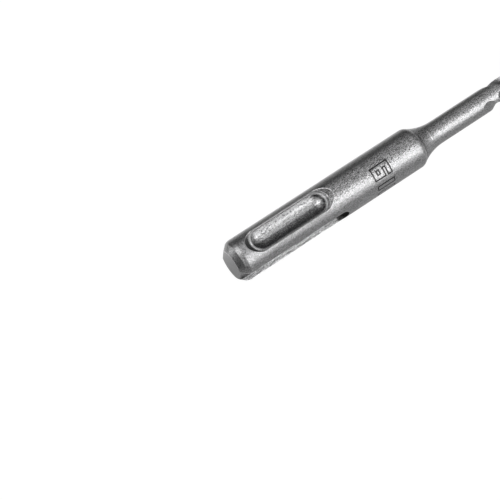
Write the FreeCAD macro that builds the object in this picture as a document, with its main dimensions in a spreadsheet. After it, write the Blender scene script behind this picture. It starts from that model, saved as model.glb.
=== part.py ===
"""Masonry drill bit with a grooved 10 mm quick-change shank and a brazed carbide tip, in millimetres.

The bit is modelled upright about its own axis and then laid down: the shank's end face is at the
origin, the axis runs along +X, the ball seats face up and down and the keyways face the two sides.
"""
import FreeCAD, Part
import math
import os
import Sketcher

doc = FreeCAD.newDocument("drill_bit")

# Driving sizes, in millimetres and degrees
SIZES = {
    "overall_length": 110.0,  # end face to the point of the carbide
    # Shank
    "shank_diameter": 10.0,  # round part that the chuck guides
    "shank_length": 50.5,  # end face to the start of the shoulder
    "end_face_diameter": 7.2,  # flat face that the hammer strikes
    "end_cone_diameter": 9.5,  # wide end of the steep bevel
    "end_cone_length": 1.35,  # steep bevel
    "edge_cone_length": 0.95,  # shallow bevel that runs out at the full diameter
    # Shoulder and neck
    "shoulder_radius": 2.2,  # rounding of the shank's front edge
    "shoulder_angle": 36.0,  # how far that rounding turns, in degrees
    "neck_diameter": 5.68,  # neck and fluted part
    "neck_start": 58.2,  # end face to where the neck is cylindrical
    # Ball seats, one on each face
    "land_depth": 0.95,  # flat land, below the round surface
    "land_start": 5.1,  # end face to the near end of the flat
    "land_end": 26.3,  # end face to the far end of the flat
    "land_margin": 0.12,  # land's rounding, wider than the flat it leaves on each side
    "ramp_length": 1.17,  # slope from the flat up to the round surface
    "ball_diameter": 7.0,  # locking ball
    "seat_depth": 1.9,  # trough, below the round surface
    "seat_start": 8.2,  # end face to the ball's rearmost centre
    "seat_end": 22.85,  # end face to the ball's foremost centre
    # Keyways, one on each side
    "keyway_width": 3.7,  # between the two walls
    "keyway_depth": 1.9,  # below the round surface
    "keyway_length": 29.2,  # end face to the end of the rounding
    # Flutes
    "flute_lead": 24.0,  # advance in one turn
    "flute_radius": 2.2,  # ball-nosed section of the flute
    "core_diameter": 4.0,  # steel left between opposite flutes
    "flute_start": 72.0,  # end face to the first pair's rearmost centre
    "second_start": 76.8,  # end face to the second pair's rearmost centre
    # Carbide plate
    "plate_width": 6.35,  # across the cutting corners
    "plate_thickness": 1.9,  # between the plate's faces
    "plate_height": 6.0,  # seat to point
    "point_angle": 130.0,  # between the two cutting edges, in degrees
    "relief_angle": 20.0,  # fall behind each cutting edge, in degrees
    "braze_gap": 0.05,  # on each face of the plate
    "crown_depth": 1.1,  # point of the carbide to the flat end of the steel
    "crown_diameter": 3.0,  # flat end of the steel
    "overrun": 1.0,  # how far a cutter passes beyond the surface
}

sheet = doc.addObject("Spreadsheet::Sheet", "Sizes")
for row, (alias, value) in enumerate(SIZES.items(), start=1):
    sheet.set(f"A{row}", alias)
    sheet.set(f"B{row}", str(value))
    sheet.setAlias(f"B{row}", alias)
doc.recompute()


def size(formula):
    """Formula in which each $name is a cell of the sheet."""
    return formula.replace("$", "Sizes.")


def value(formula):
    """Number that the sheet works out for a formula."""
    sheet.set("D1", "=" + str(formula).replace("$", ""))
    sheet.recomputeCells("D1")
    return float(sheet.get("D1"))


def add(kind, name, label=None, **formulas):
    """Object of the document whose properties follow formulas; __ in a property stands for a dot."""
    item = doc.addObject(kind, name)
    item.Label = label or name
    for prop, formula in formulas.items():
        item.setExpression(prop.replace("__", "."), size(formula))
    return item


def plane(body, role):
    return next(f for f in body.Origin.OriginFeatures if f.Role == role)


def new_sketch(body, name, role, **offset):
    """Sketch on one of the body's own planes, moved by formulas for x, y or z in that plane."""
    sketch = body.newObject("Sketcher::SketchObject", name)
    sketch.AttachmentSupport = [(plane(body, role), "")]
    sketch.MapMode = "FlatFace"
    for axis, formula in offset.items():
        sketch.setExpression(f"AttachmentOffset.Base.{axis}", size(formula))
    return sketch


def measure(sketch, name, formula, *constraint):
    """Named dimension that follows a formula."""
    number = sketch.addConstraint(Sketcher.Constraint(*constraint, value(formula)))
    sketch.renameConstraint(number, name)
    sketch.setExpression(f"Constraints.{name}", size(formula))


def pin_point(sketch, edge, end, name, x, y):
    """Hold one end of an edge at the formulas x and y, where 0 stands for the sketch's own axis."""
    for kind, axis, formula in (("DistanceX", -2, x), ("DistanceY", -1, y)):
        if formula == 0:
            sketch.addConstraint(Sketcher.Constraint("PointOnObject", edge, end, axis))
        else:
            measure(sketch, f"{name}_{kind[-1].lower()}", formula, kind, -1, 1, edge, end)


def outline(sketch, corners):
    """Closed outline, anticlockwise. A corner is (name, x, y) with a formula for x and y. Where the
    edge that leaves it is an arc, two more values give its radius and 1 if it bulges out, or -1."""
    places = [FreeCAD.Vector(value(corner[1]), value(corner[2]), 0) for corner in corners]
    edges = []
    for corner, here, there in zip(corners, places, places[1:] + places[:1]):
        if len(corner) == 3:
            sketch.addGeometry(Part.LineSegment(here, there), False)
            edges.append((1, 2))
            continue
        half = (there - here) / 2
        radius, bulge = value(corner[3]), corner[4]
        rise = radius - math.sqrt(max(radius ** 2 - half.Length ** 2, 0))
        outward = FreeCAD.Vector(half.y, -half.x, 0).normalize()
        middle = here + half + outward * rise * bulge
        start, stop = (here, there) if bulge > 0 else (there, here)
        sketch.addGeometry(Part.Arc(start, middle, stop), False)
        edges.append((1, 2) if bulge > 0 else (2, 1))
    for i, corner in enumerate(corners):
        before = (i - 1) % len(corners)
        first, last_before = edges[i][0], edges[before][1]
        sketch.addConstraint(Sketcher.Constraint("Coincident", before, last_before, i, first))
        pin_point(sketch, i, first, *corner[:3])
        if len(corner) > 3:
            measure(sketch, f"{corner[0]}_radius", corner[3], "Radius", i)


def slot_outline(sketch, near, far, radius):
    """Round-ended slot along the sketch's y axis, between the formulas of its two centres."""
    up, half_turn = FreeCAD.Vector(0, 0, 1), math.pi
    low, high = (FreeCAD.Vector(0, value(centre), 0) for centre in (near, far))
    reach = value(radius)
    side = FreeCAD.Vector(reach, 0, 0)
    sketch.addGeometry(Part.LineSegment(low + side, high + side), False)
    sketch.addGeometry(Part.ArcOfCircle(Part.Circle(high, up, reach), 0, half_turn), False)
    sketch.addGeometry(Part.LineSegment(high - side, low - side), False)
    sketch.addGeometry(Part.ArcOfCircle(Part.Circle(low, up, reach), half_turn, 2 * half_turn), False)
    for edge in range(4):
        sketch.addConstraint(Sketcher.Constraint("Tangent", edge, 2, (edge + 1) % 4, 1))
    for arc in (1, 3):
        sketch.addConstraint(Sketcher.Constraint("PointOnObject", arc, 3, -2))
    sketch.addConstraint(Sketcher.Constraint("Equal", 1, 3))
    measure(sketch, "far", far, "DistanceY", -1, 1, 1, 3)
    measure(sketch, "near", near, "DistanceY", -1, 1, 3, 3)
    measure(sketch, "radius", radius, "Radius", 1)


def both_sides(body, name, features):
    """Repeat features half a turn about the body's axis."""
    pattern = body.newObject("PartDesign::PolarPattern", name)
    pattern.Originals = features
    pattern.Axis = (plane(body, "Z_Axis"), [""])
    pattern.Angle = 360
    pattern.Occurrences = 2
    body.Tip = pattern
    return pattern


# Formulas that more than one piece uses
SHANK = "$shank_diameter / 2"
NECK = "$neck_diameter / 2"
SHOULDER_END = "$shank_length + $shoulder_radius * sin($shoulder_angle)"
SHOULDER_EDGE = f"{SHANK} - $shoulder_radius * (1 - cos($shoulder_angle))"
# The hollow behind that rounding meets the neck smoothly
DROP = f"({SHOULDER_EDGE} - {NECK})"
HOLLOW = f"(($neck_start - ({SHOULDER_END}))^2 + {DROP}^2) / (2 * {DROP})"
STEEL_END = "$overall_length - $crown_depth"
POINT_SLOPE = "tan(90 - $point_angle / 2)"
PLATE_SEAT = "$overall_length - $plate_height"
FLUTE_PATH = "$core_diameter / 2 + $flute_radius"


def turned_blank():
    """Shank, shoulder, neck and crown in one revolve, before anything is cut into them."""
    body = add("PartDesign::Body", "blank")
    profile = new_sketch(body, "blank_profile", "XZ_Plane")
    outline(profile, [
        ("centre", 0, 0),
        ("end_face", "$end_face_diameter / 2", 0),
        ("end_cone", "$end_cone_diameter / 2", "$end_cone_length"),
        ("edge_cone", SHANK, "$end_cone_length + $edge_cone_length"),
        ("shoulder", SHANK, "$shank_length", "$shoulder_radius", 1),
        ("shoulder_edge", SHOULDER_EDGE, SHOULDER_END, HOLLOW, -1),
        ("neck", NECK, "$neck_start"),
        ("crown", NECK, f"{STEEL_END} - ({NECK} - $crown_diameter / 2) * {POINT_SLOPE}"),
        ("steel_end", "$crown_diameter / 2", STEEL_END),
        ("steel_centre", 0, STEEL_END),
    ])
    turned = body.newObject("PartDesign::Revolution", "turned")
    turned.Profile = (profile, [""])
    turned.ReferenceAxis = (profile, ["V_Axis"])
    turned.Angle = 360
    return body


def ball_seat(body):
    """Flat land with sloping ends, and in it the trough in which the chuck's locking ball slides."""
    flat = f"sqrt(({SHANK})^2 - ({SHANK} - $land_depth)^2) + $land_margin"
    near, far = f"$land_start + {flat}", f"$land_end - ({flat})"
    floor = new_sketch(body, "land_floor", "YZ_Plane", z=f"{SHANK} - $land_depth")
    slot_outline(floor, near, far, flat)
    top = new_sketch(body, "land_top", "YZ_Plane", z=f"{SHANK} + $overrun")
    slope = "$ramp_length * ($land_depth + $overrun) / $land_depth"
    slot_outline(top, near, far, f"{flat} + {slope}")
    land = body.newObject("PartDesign::SubtractiveLoft", "land")
    land.Profile = (floor, [""])
    land.Sections = [(top, [""])]
    land.Ruled = True
    ball = "$ball_diameter / 2"
    capsule = new_sketch(body, "seat_profile", "XZ_Plane", x=f"{SHANK} - $seat_depth + {ball}")
    outline(capsule, [
        ("rear", 0, f"$seat_start - {ball}", ball, 1),
        ("rear_ball", ball, "$seat_start"),
        ("front_ball", ball, "$seat_end", ball, 1),
        ("front", 0, f"$seat_end + {ball}"),
    ])
    seat = body.newObject("PartDesign::Groove", "seat")
    seat.Profile = (capsule, [""])
    seat.ReferenceAxis = (capsule, ["V_Axis"])
    seat.Angle = 360
    return [land, seat]


def keyway(body):
    """Driving slot, open at the end face and rounded at its far end."""
    floor = new_sketch(body, "keyway_floor", "XZ_Plane", z=f"{SHANK} - $keyway_depth")
    half = "$keyway_width / 2"
    slot_outline(floor, "-$overrun", f"$keyway_length - {half}", half)
    slot = body.newObject("PartDesign::Pocket", "keyway")
    slot.Profile = (floor, [""])
    slot.Reversed = True
    slot.setExpression("Length", size("$keyway_depth + $overrun"))
    return slot


def flute_cutter():
    """Ball-nosed cutter's path along one flute, from its run-out at the origin's level up."""
    helix = add("Part::Helix", "flute_path", Pitch="$flute_lead", Radius=FLUTE_PATH,
                Height="$overall_length - $flute_start + $overrun")
    helix.SegmentLength = 1  # an edge for each turn, because one long edge can cut nothing
    doc.recompute()
    section = add("Part::Circle", "flute_section", Radius="$flute_radius", Placement__Base__x=FLUTE_PATH)
    section.Placement.Rotation = FreeCAD.Rotation(FreeCAD.Vector(-1, 0, 0), 45)
    section.setExpression("Placement.Rotation.Angle", size(f"atan(2 * pi * ({FLUTE_PATH}) / $flute_lead)"))
    sweep = add("Part::Sweep", "flute_sweep")
    sweep.Sections = [section]
    sweep.Spine = (helix, [f"Edge{number}" for number in range(1, len(helix.Shape.Edges) + 1)])
    sweep.Solid = True
    sweep.Frenet = True
    nose = add("Part::Sphere", "flute_nose", Radius="$flute_radius", Placement__Base__x=FLUTE_PATH)
    cutter = add("Part::Fuse", "flute_cutter")
    cutter.Base = sweep
    cutter.Tool = nose
    return cutter


def flutes(cutter):
    """Four flutes a quarter turn apart, set out from the plate. Each second one starts further forward."""
    links = []
    for quarter, start in enumerate(["$flute_start", "$second_start"] * 2):
        turn = f"45 + 90 * {quarter} - 360 * ({PLATE_SEAT} + $plate_height / 2 - {start}) / $flute_lead"
        links.append(add("App::Link", f"flute_{quarter + 1}", Placement__Rotation__Angle=turn,
                         Placement__Base__z=start))
        links[-1].LinkedObject = cutter
    group = add("Part::Compound", "flutes")
    group.Links = links
    return group


def drill_body():
    """The bit's steel, one piece from the end face to the crown."""
    body = turned_blank()
    both_sides(body, "opposite_side", ball_seat(body) + [keyway(body)])
    fluted = add("Part::Cut", "fluted_blank")
    fluted.Base = body
    fluted.Tool = flutes(flute_cutter())
    width = "$plate_thickness + 2 * $braze_gap"
    slot = add("Part::Box", "plate_slot", Length=width, Width="2 * $plate_width",
               Height="$plate_height + $overrun", Placement__Base__x=f"-({width}) / 2",
               Placement__Base__y="-$plate_width", Placement__Base__z=PLATE_SEAT)
    steel = add("Part::Cut", "drill_body")
    steel.Base = fluted
    steel.Tool = slot
    return steel


def carbide_tip():
    """Roof-shaped plate. Each cutting edge is on its own face, and the chisel edge joins them."""
    body = add("PartDesign::Body", "carbide_tip")
    corner = "$plate_width / 2"
    chisel = f"$plate_thickness * tan($relief_angle) / (2 * {POINT_SLOPE})"
    edge_fall = f"$overall_length - ({corner} - {chisel}) * {POINT_SLOPE}"
    relief_fall = f"$overall_length - ({corner} + {chisel}) * {POINT_SLOPE}"
    faces = []
    for name, way, left, right in (("front_face", 1, relief_fall, edge_fall),
                                   ("rear_face", -1, edge_fall, relief_fall)):
        face = new_sketch(body, name, "YZ_Plane", z=f"{way} * $plate_thickness / 2")
        outline(face, [
            ("seat_left", f"-({corner})", PLATE_SEAT),
            ("seat_right", corner, PLATE_SEAT),
            ("corner_right", corner, right),
            ("chisel", f"{way} * ({chisel})", "$overall_length"),
            ("corner_left", f"-({corner})", left),
        ])
        faces.append(face)
    plate = body.newObject("PartDesign::AdditiveLoft", "plate")
    plate.Profile = (faces[0], [""])
    plate.Sections = [(faces[1], [""])]
    plate.Ruled = True
    return body


nodes = [drill_body(), carbide_tip()]
sheet.clear("D1")
doc.recompute()
lying = FreeCAD.Rotation(FreeCAD.Vector(0, 1, 0), 90)
for node in nodes:
    node.Placement = FreeCAD.Placement(FreeCAD.Vector(0, 0, 0), lying)
doc.recompute()

for item in doc.Objects:
    if "Invalid" in item.State or "Error" in item.State:
        raise RuntimeError(f"{item.Label} failed: {item.State}")
os.makedirs("parts", exist_ok=True)
for node in nodes:
    if node.Shape.isNull() or not node.Shape.isValid():
        raise RuntimeError(f"{node.Label} has no valid shape")
    node.Shape.exportStep(f"parts/{node.Label}.step")
    print(node.Label, len(node.Shape.Solids), round(node.Shape.Volume, 1), node.Shape.BoundBox)
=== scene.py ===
"""Looks of a masonry drill bit: shot-blasted steel with pitted ball seats, painted shade and painted
highlights, and a brazed carbide tip.
"""
import math
from types import SimpleNamespace

import bmesh
import bpy
from mathutils import Matrix, Vector


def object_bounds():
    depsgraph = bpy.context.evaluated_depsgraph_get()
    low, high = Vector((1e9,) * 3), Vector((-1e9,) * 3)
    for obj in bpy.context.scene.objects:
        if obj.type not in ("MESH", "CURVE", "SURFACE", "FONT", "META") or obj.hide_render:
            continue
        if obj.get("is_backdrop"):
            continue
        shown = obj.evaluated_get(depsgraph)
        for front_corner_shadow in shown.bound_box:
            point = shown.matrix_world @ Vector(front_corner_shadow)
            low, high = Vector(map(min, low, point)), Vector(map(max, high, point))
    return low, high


MM = 0.001

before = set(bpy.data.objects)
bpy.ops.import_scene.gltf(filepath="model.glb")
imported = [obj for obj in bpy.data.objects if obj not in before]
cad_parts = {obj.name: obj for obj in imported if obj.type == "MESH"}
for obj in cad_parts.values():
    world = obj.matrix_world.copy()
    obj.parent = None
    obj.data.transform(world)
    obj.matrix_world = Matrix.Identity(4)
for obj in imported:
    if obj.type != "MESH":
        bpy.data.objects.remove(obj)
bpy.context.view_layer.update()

# Camera: 1600 pixels of focal length on a picture 500 pixels wide
LENS = 115.2
SENSOR_WIDTH = 36
CLIP_START = 0.01
CAMERA_PLACE = Vector((-91.87, -106.64, 322.84)) * MM
CAMERA_RIGHT = Vector((0.80622, -0.58971, 0.04744))
CAMERA_UP = Vector((0.52361, 0.74857, 0.40678))
CAMERA_BACK = Vector((-0.27539, -0.30311, 0.91230))

# Surroundings: strength at the sides and overhead, and how far up each of them reaches
SIDE_LIGHT = 0.03
TOP_LIGHT = 0.5
RISE = (0.2, 0.85)

# Lamps: direction from the bit, width along it and height in metres, power in watts
LAMPS = {
    "key": ((0.45, -0.61, 0.64), 0.5, 0.44, 3.4),
    "end_light": ((-0.2, 0.4, 0.89), 0.14, 0.31, 1.28),
    "bevel_light": ((-0.72, 0.66, 0.17), 0.2, 0.26, 0.65),
}
LAMP_DISTANCE = 0.6
LIT_PLACE = Vector((0.04, 0, 0))

# Floor: its light towards the camera and towards the steel, and where in metres that light changes
FLOOR_REACH = 3.0
FLOOR_COLOUR = (0.8, 0.8, 0.8, 1)
FLOOR_ROUGHNESS = 0.9
TO_CAMERA = 1.04
TO_STEEL = 0.65
BEHIND = (0.0, 0.01)
BEHIND_EXTRA = 0.85
FAR_BEHIND = (0.008, 0.04)
PAST_END = (-0.008, -0.03)
PAST_END_LOSS = 0.5
GLOW_SHARE = 0.93

# From here on lengths are millimetres. Two of them say where a mask starts and where it is full.
# Three of them are the middle of a band, its half width and the width of its soft edge.

# Shank: its radius, the machined bevels and the ground end face
SHANK_RADIUS = 5.0
BEVELS = (2.5, 2.2)
END_FACE = (0.12, 0.04)

# Ball seats: heights above the axis, widths off the middle plane, lengths from the end face
SEAT_HEIGHT = (4.12, 4.0)
SEAT_WIDTH = (2.9, 2.7)
SEAT_LENGTH = (15.5, 11.0, 0.5)
LAND_HEIGHT = (4.3, 4.15)
LEDGE_HEIGHT = (4.05, 0.02, 0.03)
REAR_SLOPE = (4.7, 0.5, 0.3)
REAR_SLOPE_WIDTH = (3.2, 2.5)
REAR_SLOPE_RADIUS = (4.98, 4.93)

# Troughs: centres of their two round ends, and bands by the distance from the line between these
REAR_CENTRE = 8.2
FRONT_CENTRE = 22.85
LIP = (2.75, 0.04, 0.12)
END_RING = (2.7, 0.17, 0.08)
RIM = (2.42, 0.05, 0.1)
CORNER = (2.15, 0.12, 0.2)
CORNER_LENGTH = (23.0, 24.2)

# Where these bands lie across the seat, and how far past the centres they change
LIP_FLANK = (-2.6, -1.5)
LIP_PAST = (0.2, 1.2)
LIP_PAST_LOSS = 0.7
END_RING_FLANK = (-2.8, -1.8)
END_RING_PAST = (0.4, 1.4)
CORNER_FLANK = (-1.6, -0.6)
# Painted highlight strip along one flank of each trough: where it starts and where it ends across the seat
HIGHLIGHT_STRIP_FROM = (-0.45, 0.25)
HIGHLIGHT_STRIP_TO = (1.9, 0.6)
STRONG_FLANK = (0.2, -0.8)
UNLIT_FLANK = (-2.3, -2.6)

# Strong grain on the shank: share of the radius off the middle plane, and lengths
CREST = (0.5, 0.3)
CREST_LENGTH = (6.0, 14.0)

# Keyways: heights above the axis, radius, distance from the middle plane and lengths
KEYWAY_HEIGHT = (1.95, 1.85)
KEYWAY_RADIUS = (4.97, 4.9)
KEYWAY_SIDE = (2.9, 3.0)
KEYWAY_LENGTH = (29.6, 29.3)
WALL_RADIUS = (3.82, 4.0)
POCKET = (26.3, 27.0)
LOWER_WALL = (-0.1, 0.1)

# Shoulder and neck: crease with a painted highlight, painted shade on the strip in front of it, and the
# line left by machining, raised and given a painted highlight over part of its way round
CREASE = (51.8, 0.04, 0.08)
CREASE_SHARE = 0.5
SHOULDER_SHADE_STRIP = (52.25, 0.1, 0.25)
NECK_LINE = (55.2, 0.05, 0.1)
NECK_LINE_WIDTH = (-0.4, 1.7, 0.8)

# Plain numbers: their turn in degrees from the top towards -Y, size and stroke of a digit, where
# they start, the middle of each digit round the shank, and the outline's half width
NUMBERS_TURN = 18.3
NUMBERS_START = 37.5
DIGIT_TALL = 4.6
DIGIT_WIDE = 3.1
STROKE = 1.05
SIX = 0.5
FIRST_ONE = 4.1
SECOND_ONE = 6.3
NOUGHT = 9.5
OUTLINE = (0.11, 0.19)

# Steel's grain: pitches, pits to a millimetre and how far the keyways' lines are drawn out
FINE_PITCH = 0.15
COARSE_PITCH = 0.34
CLOUD_PITCH = 4.0
PITS_SCALE = 1.5
PIT_SIZE = (0.1, 0.3)
COMB_PITCH = 0.16
DRAWN_LENGTHWISE = (0.1, 1.0, 1.0)
MACHINED_CALM = 0.1
GROUND_CALM = 0.6

# Steel's edges and hollows: rounding, how far an edge turns the surface, reach of the shade painted into
# hollows
ROUNDING = 0.2
ROUNDING_SAMPLES = 8
EDGE_TURN = (0.93, 0.985)
PAINTED_SHADE_REACH = 1.8
PAINTED_SHADE_SAMPLES = 8
WALL_SPARED_SHADE = 0.7

# Steel's relief: heights and depths of the grain and the marks
FINE_HEIGHT = 0.02
FINE_SEAT_LOSS = 0.01
COARSE_HEIGHT = 0.014
LINE_HEIGHT = 0.03
NUMBERS_DEPTH = 0.12
PIT_DEPTH = 0.06
COMB_HEIGHT = 0.08
LIP_HEIGHT = 0.03

# Steel's shade: what the grain gives everywhere, where it is strong, in the seats and on the walls
PLAIN_SHADE = 0.28
DARKEST_SHADE = 0.03
BLUER = 1.01
FINE_SHADE = 0.4
COARSE_SHADE = 0.18
CLOUD_SHADE = 0.03
STRONG_FINE_SHADE = 0.7
STRONG_COARSE_SHADE = 0.14
SEAT_COARSE_SHADE = 0.1
WALL_SHADE = 0.32
WALL_FINE_SHADE = 0.4
WALL_COARSE_SHADE = 0.2
WALL_COMB_SHADE = 0.5

# Share of its shade that the steel loses in each mark, much of it painted shade, and what the painted
# highlights and worn edges add
NUMBERS_LOSS = 0.85
POCKET_SHADE_LOSS = 0.85
LEDGE_LOSS = 0.2
SEAT_LOSS = 0.45
PIT_LOSS = 0.4
HIGHLIGHT_STRIP_GAIN = 1.15
SHOULDER_SHADE_LOSS = 0.3
RIM_SHADE_LOSS = 0.6
FRONT_CORNER_SHADOW_LOSS = 0.65
REAR_SLOPE_SHADE_LOSS = 0.4
LIP_HIGHLIGHT = 0.25
END_RING_HIGHLIGHT = 0.14
LINE_HIGHLIGHT = 0.4
EDGE_HIGHLIGHT_AND_WEAR = 0.65
BEVEL_EDGE_HIGHLIGHT_AND_WEAR = 0.3
UNLIT_FLANK_EDGE_LOSS = 0.8
LOWER_WALL_LOSS = 0.9

# Steel's roughness
STEEL_ROUGHNESS = 0.4
GRAIN_ROUGHNESS = 0.2
SEAT_SMOOTHER = 0.07

# Carbide: pitch of its grain, stretch of the lines that grinding leaves, relief, shade and roughness
CARBIDE_PITCH = 0.1
GROUND_ACROSS = (1.0, 1.0, 0.1)
CARBIDE_ROUNDING = 0.05
CARBIDE_ROUNDING_SAMPLES = 6
CARBIDE_FINE_HEIGHT = 0.004
CARBIDE_GROUND_HEIGHT = 0.008
CARBIDE_SHADE = 0.24
CARBIDE_GRAIN_SHADE = 0.03
CARBIDE_BLUER = 1.02
CARBIDE_ROUGHNESS = 0.45
CARBIDE_GRAIN_ROUGHNESS = 0.05


class Value:
    """A shader socket that takes part in Python's arithmetic."""

    def __init__(self, shader, socket):
        self.shader = shader
        self.socket = socket

    def maths(self, operation, *others):
        """Output of a Math node that takes this value first."""
        return self.shader.maths(operation, self, *others)

    def __add__(self, other):
        return self.maths("ADD", other)

    def __radd__(self, other):
        return self.shader.maths("ADD", other, self)

    def __sub__(self, other):
        return self.maths("SUBTRACT", other)

    def __rsub__(self, other):
        return self.shader.maths("SUBTRACT", other, self)

    def __mul__(self, other):
        return self.maths("MULTIPLY", other)

    def __rmul__(self, other):
        return self.shader.maths("MULTIPLY", other, self)

    def __truediv__(self, other):
        return self.maths("DIVIDE", other)

    def __rtruediv__(self, other):
        return self.shader.maths("DIVIDE", other, self)

    def __abs__(self):
        return self.maths("ABSOLUTE")

    def step(self, start, full):
        """0 up to the start, 1 from full on and smooth between them. Full may be the lower one."""
        settings = {"interpolation_type": "SMOOTHSTEP"}
        return self.shader.node("ShaderNodeMapRange", settings, self, start, full)

    def band(self, middle, half, soft):
        """1 within half of the middle, falling to 0 over soft on each side."""
        return 1 - abs(self - middle).step(half, half + soft)


class Shader:
    """Nodes of a material or a world, built from expressions on their outputs."""

    def __init__(self, owner, last):
        owner.use_nodes = True
        self.owner = owner
        self.nodes = owner.node_tree.nodes
        self.links = owner.node_tree.links
        self.last = self.nodes[last]

    def node(self, kind, settings=None, *values, output=0, **named):
        """Output of a new node: its settings first, then values or links by order or by name."""
        made = self.nodes.new(kind)
        for name, setting in (settings or {}).items():
            setattr(made, name, setting)
        for place, value in enumerate(values):
            self.feed(made.inputs[place], value)
        self.feed_named(made, named)
        return Value(self, made.outputs[output])

    def maths(self, operation, *values):
        return self.node("ShaderNodeMath", {"operation": operation}, *values)

    def vector(self, operation, *values, output=0, **named):
        return self.node("ShaderNodeVectorMath", {"operation": operation}, *values, output=output, **named)

    def colour(self, *parts):
        return self.node("ShaderNodeCombineColor", None, *parts)

    def feed(self, socket, value):
        if isinstance(value, Value):
            self.links.new(value.socket, socket)
        else:
            socket.default_value = value

    def feed_named(self, node, named):
        for name, value in named.items():
            self.feed(node.inputs[name.replace("_", " ")], value)

    def finished(self, **named):
        """The material or world, once its last shader is fed."""
        self.feed_named(self.last, named)
        return self.owner


def millimetres(shader):
    """Place of a point on the bit, from the middle of its end face."""
    metres = shader.node("ShaderNodeTexCoord", output="Object")
    return shader.vector("SCALE", metres, Scale=1 / MM)


class Place:
    """Place of a point on the bit: lengths, radius and the way round from the numbers."""

    def __init__(self, shader):
        self.shader = shader
        self.point = millimetres(shader)
        self.along = self.axis("X")
        self.side = self.axis("Y")
        self.height = self.axis("Z")
        self.radius = (self.side * self.side + self.height * self.height).maths("SQRT")
        turned = (self.side * -1).maths("ARCTAN2", self.height)
        self.round = (turned - math.radians(NUMBERS_TURN)) * SHANK_RADIUS

    def axis(self, name):
        return self.shader.node("ShaderNodeSeparateXYZ", None, self.point, output=name)


def camera():
    """Camera at the photograph's viewing angle."""
    data = bpy.data.cameras.new("camera")
    data.lens = LENS
    data.sensor_width = SENSOR_WIDTH
    data.clip_start = CLIP_START
    made = bpy.data.objects.new("camera", data)
    turn = Matrix((CAMERA_RIGHT, CAMERA_UP, CAMERA_BACK)).transposed().to_4x4()
    made.matrix_world = Matrix.Translation(CAMERA_PLACE) @ turn
    bpy.context.scene.collection.objects.link(made)
    bpy.context.scene.camera = made


def material(name):
    return Shader(bpy.data.materials.new(name), "Principled BSDF")


def grain(point, pitch):
    """Noise of a pitch in millimetres, from about -1 to 1."""
    noise = point.shader.node("ShaderNodeTexNoise", None, Vector=point, Scale=1 / pitch, Detail=2.0)
    return (noise - 0.5) * 2


def bar(place, middle, size):
    """Distance outside an upright bar on the shank, negative inside it."""
    width = abs(place.round - middle[0]) - size[0] / 2
    length = abs(place.along - middle[1]) - size[1] / 2
    return width.maths("MAXIMUM", length)


def numbers(place):
    """Outline of the plain numbers stamped on the shank, its diameter and length: 6 and 110."""
    near = NUMBERS_START + STROKE / 2
    middle = NUMBERS_START + DIGIT_TALL / 2
    far = NUMBERS_START + DIGIT_TALL - STROKE / 2
    right = (DIGIT_WIDE - STROKE) / 2
    upright = (STROKE, DIGIT_TALL)
    half_upright = (STROKE, middle - near)
    level = (DIGIT_WIDE, STROKE)
    bars = [
        ((SIX - right, middle), upright),
        ((SIX, near), level),
        ((SIX, middle), level),
        ((SIX, far), level),
        ((SIX + right, (near + middle) / 2), half_upright),
        ((FIRST_ONE, middle), upright),
        ((SECOND_ONE, middle), upright),
        ((NOUGHT - right, middle), upright),
        ((NOUGHT + right, middle), upright),
        ((NOUGHT, near), level),
        ((NOUGHT, far), level),
    ]
    outside = bar(place, *bars[0])
    for other in bars[1:]:
        outside = outside.maths("MINIMUM", bar(place, *other))
    return 1 - abs(outside).step(*OUTLINE)


def seat_masks(place):
    """The ball seats, their slopes and ledges, and the bands round their troughs, most of them painted
    shade, shadow or highlights.
    """
    height = abs(place.height)
    width = abs(place.side)
    inside = height.step(*SEAT_HEIGHT) * width.step(*SEAT_WIDTH) * place.along.band(*SEAT_LENGTH)
    land = height.step(*LAND_HEIGHT)
    # Distance across the seat, which turns by half with the other seat
    flank = place.side * place.height.maths("SIGN")
    past = (REAR_CENTRE - place.along).maths("MAXIMUM", place.along - FRONT_CENTRE)
    past = past.maths("MAXIMUM", 0.0)
    from_middle = (place.side * place.side + past * past).maths("SQRT")
    # Raised lip round each trough on one flank, lighter there as a painted highlight
    lip = land * from_middle.band(*LIP) * flank.step(*LIP_FLANK)
    # Painted highlight: a lighter ring round the troughs' ends on one flank
    end_ring_highlight = land * from_middle.band(*END_RING) * past.step(*END_RING_PAST)
    # Painted shadow: a dark arc inside each trough's front end, on one flank, as the rim's shadow
    front_corner_shadow = land * from_middle.band(*CORNER) * place.along.step(*CORNER_LENGTH)
    # Painted shade on the slope at each seat's rear end, which faces away from the light
    slope = place.along.band(*REAR_SLOPE) * width.step(*REAR_SLOPE_WIDTH)
    return SimpleNamespace(
        inside=inside,
        ledge=inside * height.band(*LEDGE_HEIGHT),
        lip=lip * (1 - past.step(*LIP_PAST) * LIP_PAST_LOSS),
        end_ring_highlight=end_ring_highlight * flank.step(*END_RING_FLANK),
        # Painted shade along each trough's edge
        rim_shade=land * from_middle.band(*RIM),
        front_corner_shadow=front_corner_shadow * flank.step(*CORNER_FLANK),
        rear_slope_shade=slope * place.radius.step(*REAR_SLOPE_RADIUS),
        # Painted highlight along one flank of each trough
        painted_highlight_strip=flank.step(*HIGHLIGHT_STRIP_FROM) * flank.step(*HIGHLIGHT_STRIP_TO),
        strong=inside * flank.step(*STRONG_FLANK),
        # Flank of each seat where the edges get no painted highlight, as the light misses it
        unlit_flank_edge=land * flank.step(*UNLIT_FLANK),
    )


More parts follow.
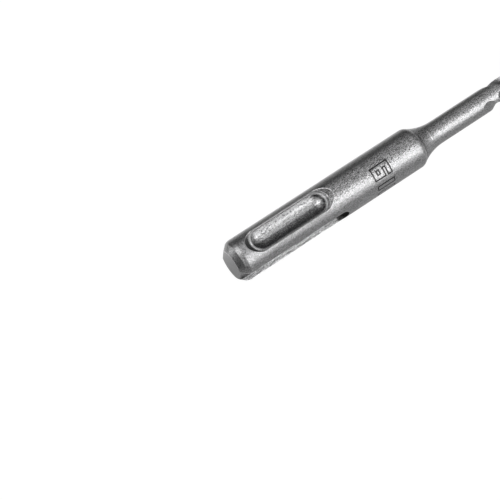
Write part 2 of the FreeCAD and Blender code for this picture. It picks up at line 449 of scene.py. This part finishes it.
def keyway_masks(place):
    """The keyways, their walls, the wall whose outer edge gets no painted highlight, and painted shade in
    the pocket at their front end.
    """
    inside = abs(place.height).step(*KEYWAY_HEIGHT) * place.radius.step(*KEYWAY_RADIUS)
    inside = inside * place.along.step(*KEYWAY_LENGTH) * abs(place.side).step(*KEYWAY_SIDE)
    return SimpleNamespace(
        inside=inside,
        wall=inside * place.radius.step(*WALL_RADIUS),
        # Lower walls, whose outer edges get no painted highlight
        lower_wall=inside * (place.side * place.height).step(*LOWER_WALL),
        # Painted shade in the pocket at the keyway's front end
        pocket=inside * place.along.step(*POCKET),
    )


def steel_grain(place, machined):
    """The steel's grains, calmer on the bevels and the end face, with its pits and drawn lines."""
    calm = 1 - machined * MACHINED_CALM - place.along.step(*END_FACE) * GROUND_CALM
    pits = place.shader.node("ShaderNodeTexVoronoi", None, Vector=place.point, Scale=PITS_SCALE)
    drawn = place.shader.vector("MULTIPLY", place.point, DRAWN_LENGTHWISE)
    return SimpleNamespace(
        fine=grain(place.point, FINE_PITCH) * calm,
        coarse=grain(place.point, COARSE_PITCH) * calm,
        cloud=grain(place.point, CLOUD_PITCH),
        pits=1 - pits.step(*PIT_SIZE),
        comb=grain(drawn, COMB_PITCH),
    )


def steel():
    """Shot-blasted steel, pitted in the ball seats and drawn lengthwise in the keyways."""
    made = material("blasted_steel")
    place = Place(made)
    seat = seat_masks(place)
    keyway = keyway_masks(place)
    machined = place.along.step(*BEVELS)
    grains = steel_grain(place, machined)
    stamped = numbers(place)
    # Machining line and crease: raised, and lighter as a painted highlight, the line only over the arc
    # where the light catches it
    raised_lines_and_highlight = place.along.band(*NECK_LINE) * place.round.band(*NECK_LINE_WIDTH)
    raised_lines_and_highlight = raised_lines_and_highlight + place.along.band(*CREASE) * CREASE_SHARE
    strong = (abs(place.side) / place.radius).step(*CREST) * place.along.step(*CREST_LENGTH)
    strong = strong * (1 - seat.inside) + seat.strong

    rounded = made.node("ShaderNodeBevel", {"samples": ROUNDING_SAMPLES}, Radius=ROUNDING * MM)
    flat = made.node("ShaderNodeNewGeometry", output="Normal")
    # Edges lighter where the surface turns sharply: partly worn bare, partly a painted highlight, left off
    # where the light misses
    edge_wear_and_highlight = 1 - made.vector("DOT_PRODUCT", rounded, flat, output="Value").step(*EDGE_TURN)
    edge_wear_and_highlight = edge_wear_and_highlight * (1 - seat.unlit_flank_edge * UNLIT_FLANK_EDGE_LOSS) * (1 - keyway.lower_wall * LOWER_WALL_LOSS)
    # Painted shade: the steel is darkened where nearby surfaces close it in, as shade falls in hollows
    painted_hollow_shade = 1 - made.node("ShaderNodeAmbientOcclusion", {"samples": PAINTED_SHADE_SAMPLES},
                           Distance=PAINTED_SHADE_REACH * MM, output="AO")

    relief = grains.fine * (FINE_HEIGHT - seat.inside * FINE_SEAT_LOSS) + grains.coarse * COARSE_HEIGHT
    relief = relief + raised_lines_and_highlight * LINE_HEIGHT - stamped * NUMBERS_DEPTH + seat.lip * LIP_HEIGHT
    relief = relief - seat.inside * grains.pits * PIT_DEPTH + keyway.inside * grains.comb * COMB_HEIGHT

    fine_shade = FINE_SHADE + strong * STRONG_FINE_SHADE
    coarse_shade = COARSE_SHADE + strong * STRONG_COARSE_SHADE + seat.inside * SEAT_COARSE_SHADE
    wall_shade = WALL_SHADE + grains.fine * WALL_FINE_SHADE + grains.coarse * WALL_COARSE_SHADE
    wall_shade = wall_shade + grains.comb * WALL_COMB_SHADE
    shade = PLAIN_SHADE + grains.fine * fine_shade + grains.coarse * coarse_shade
    shade = shade + grains.cloud * CLOUD_SHADE + keyway.wall * wall_shade
    losses = [
        # Painted shade in hollows, of which the keyways' walls are partly spared
        painted_hollow_shade * (1 - keyway.wall * WALL_SPARED_SHADE),
        stamped * NUMBERS_LOSS,
        # Painted shade in the keyways' pockets
        keyway.pocket * POCKET_SHADE_LOSS,
        seat.ledge * LEDGE_LOSS,
        # Seats darker all over, and lighter on the painted highlight strip
        seat.inside * (SEAT_LOSS + grains.pits * PIT_LOSS - seat.painted_highlight_strip * HIGHLIGHT_STRIP_GAIN),
        # Painted shade on the strip in front of the shoulder's crease
        place.along.band(*SHOULDER_SHADE_STRIP) * SHOULDER_SHADE_LOSS,
        # Painted shade along the troughs' edges
        seat.rim_shade * RIM_SHADE_LOSS,
        # Painted shadow at the troughs' front ends
        seat.front_corner_shadow * FRONT_CORNER_SHADOW_LOSS,
        # Painted shade on the seats' rear slopes
        seat.rear_slope_shade * REAR_SLOPE_SHADE_LOSS,
    ]
    for loss in losses:
        shade = shade * (1 - loss)
    # Painted highlights on the lips, the troughs' end rings, the machining line and the crease
    shade = shade + seat.lip * LIP_HIGHLIGHT + seat.end_ring_highlight * END_RING_HIGHLIGHT + raised_lines_and_highlight * LINE_HIGHLIGHT
    # Worn edges and painted edge highlights
    shade = shade + edge_wear_and_highlight * (EDGE_HIGHLIGHT_AND_WEAR + machined * BEVEL_EDGE_HIGHLIGHT_AND_WEAR)
    shade = shade.maths("MAXIMUM", DARKEST_SHADE)

    return made.finished(
        Base_Color=made.colour(shade, shade, shade * BLUER),
        Metallic=1.0,
        Roughness=STEEL_ROUGHNESS + grains.fine * GRAIN_ROUGHNESS - seat.inside * SEAT_SMOOTHER,
        Normal=made.node("ShaderNodeBump", None, Strength=1.0, Distance=MM, Height=relief, Normal=rounded),
    )


def carbide():
    """Ground carbide, darker and finer than the steel."""
    made = material("ground_carbide")
    point = millimetres(made)
    fine = grain(point, CARBIDE_PITCH)
    ground = grain(made.vector("MULTIPLY", point, GROUND_ACROSS), CARBIDE_PITCH)
    settings = {"samples": CARBIDE_ROUNDING_SAMPLES}
    rounded = made.node("ShaderNodeBevel", settings, Radius=CARBIDE_ROUNDING * MM)
    relief = fine * CARBIDE_FINE_HEIGHT + ground * CARBIDE_GROUND_HEIGHT
    shade = CARBIDE_SHADE + fine * CARBIDE_GRAIN_SHADE + ground * CARBIDE_GRAIN_SHADE
    return made.finished(
        Base_Color=made.colour(shade, shade, shade * CARBIDE_BLUER),
        Metallic=1.0,
        Roughness=CARBIDE_ROUGHNESS + ground * CARBIDE_GRAIN_ROUGHNESS,
        Normal=made.node("ShaderNodeBump", None, Strength=1.0, Distance=MM, Height=relief, Normal=rounded),
    )


def finish_node(name, made):
    """Give a piece of the bit its material."""
    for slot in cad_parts[name].material_slots:
        slot.link = "OBJECT"
        slot.material = made


def softbox(name, towards, width, height, power):
    """Area lamp that faces the bit from a direction, its width along the bit."""
    data = bpy.data.lights.new(name, "AREA")
    data.shape = "RECTANGLE"
    data.size = width
    data.size_y = height
    data.energy = power
    made = bpy.data.objects.new(name, data)
    back = Vector(towards).normalized()
    up = back.cross(Vector((1, 0, 0))).normalized()
    turn = Matrix((up.cross(back), up, back)).transposed().to_4x4()
    made.matrix_world = Matrix.Translation(LIT_PLACE + back * LAMP_DISTANCE) @ turn
    bpy.context.scene.collection.objects.link(made)


def floor_look():
    """Pale floor: white to the camera, as light in the steel only near the bit, and shadowed by it."""
    made = material("pale_floor")
    camera_ray = made.node("ShaderNodeLightPath", output="Is Camera Ray")
    glossy_ray = made.node("ShaderNodeLightPath", output="Is Glossy Ray")
    metres = made.node("ShaderNodeTexCoord", output="Object")
    along = made.node("ShaderNodeSeparateXYZ", None, metres, output="X")
    across = made.node("ShaderNodeSeparateXYZ", None, metres, output="Y")
    in_steel = (TO_STEEL + across.step(*BEHIND) * BEHIND_EXTRA) * (1 - across.step(*FAR_BEHIND))
    in_steel = in_steel * (1 - along.step(*PAST_END) * PAST_END_LOSS)
    strength = camera_ray * TO_CAMERA + glossy_ray * in_steel
    colour = made.colour(strength, strength, strength)
    glow = made.node("ShaderNodeEmission", None, Color=colour, Strength=1.0)
    lit = Value(made, made.last.outputs["BSDF"])
    share = (camera_ray + glossy_ray) * GLOW_SHARE
    mixed = made.node("ShaderNodeMixShader", None, share, lit, glow)
    made.feed(made.nodes["Material Output"].inputs["Surface"], mixed)
    return made.finished(Base_Color=FLOOR_COLOUR, Roughness=FLOOR_ROUGHNESS)


def floor():
    """Level floor that the bit lies on."""
    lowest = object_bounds()[0][2]
    mesh = bpy.data.meshes.new("floor")
    form = bmesh.new()
    bmesh.ops.create_grid(form, x_segments=1, y_segments=1, size=FLOOR_REACH)
    form.to_mesh(mesh)
    form.free()
    made = bpy.data.objects.new("floor", mesh)
    made.location = (0, 0, lowest)
    bpy.context.scene.collection.objects.link(made)
    mesh.materials.append(floor_look())
    made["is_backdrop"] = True


def studio():
    """Dim surroundings, lighter overhead than at the sides."""
    made = Shader(bpy.data.worlds.new("studio"), "Background")
    way = made.node("ShaderNodeTexCoord", output="Generated")
    rise = made.node("ShaderNodeSeparateXYZ", None, way, output="Z").step(*RISE)
    strength = SIDE_LIGHT + rise * (TOP_LIGHT - SIDE_LIGHT)
    bpy.context.scene.world = made.finished(Color=(1, 1, 1, 1), Strength=strength)


bpy.context.scene.view_settings.view_transform = "Standard"
camera()
finish_node("drill_body", steel())
finish_node("carbide_tip", carbide())
studio()
floor()
for name, lamp in LAMPS.items():
    softbox(name, *lamp)
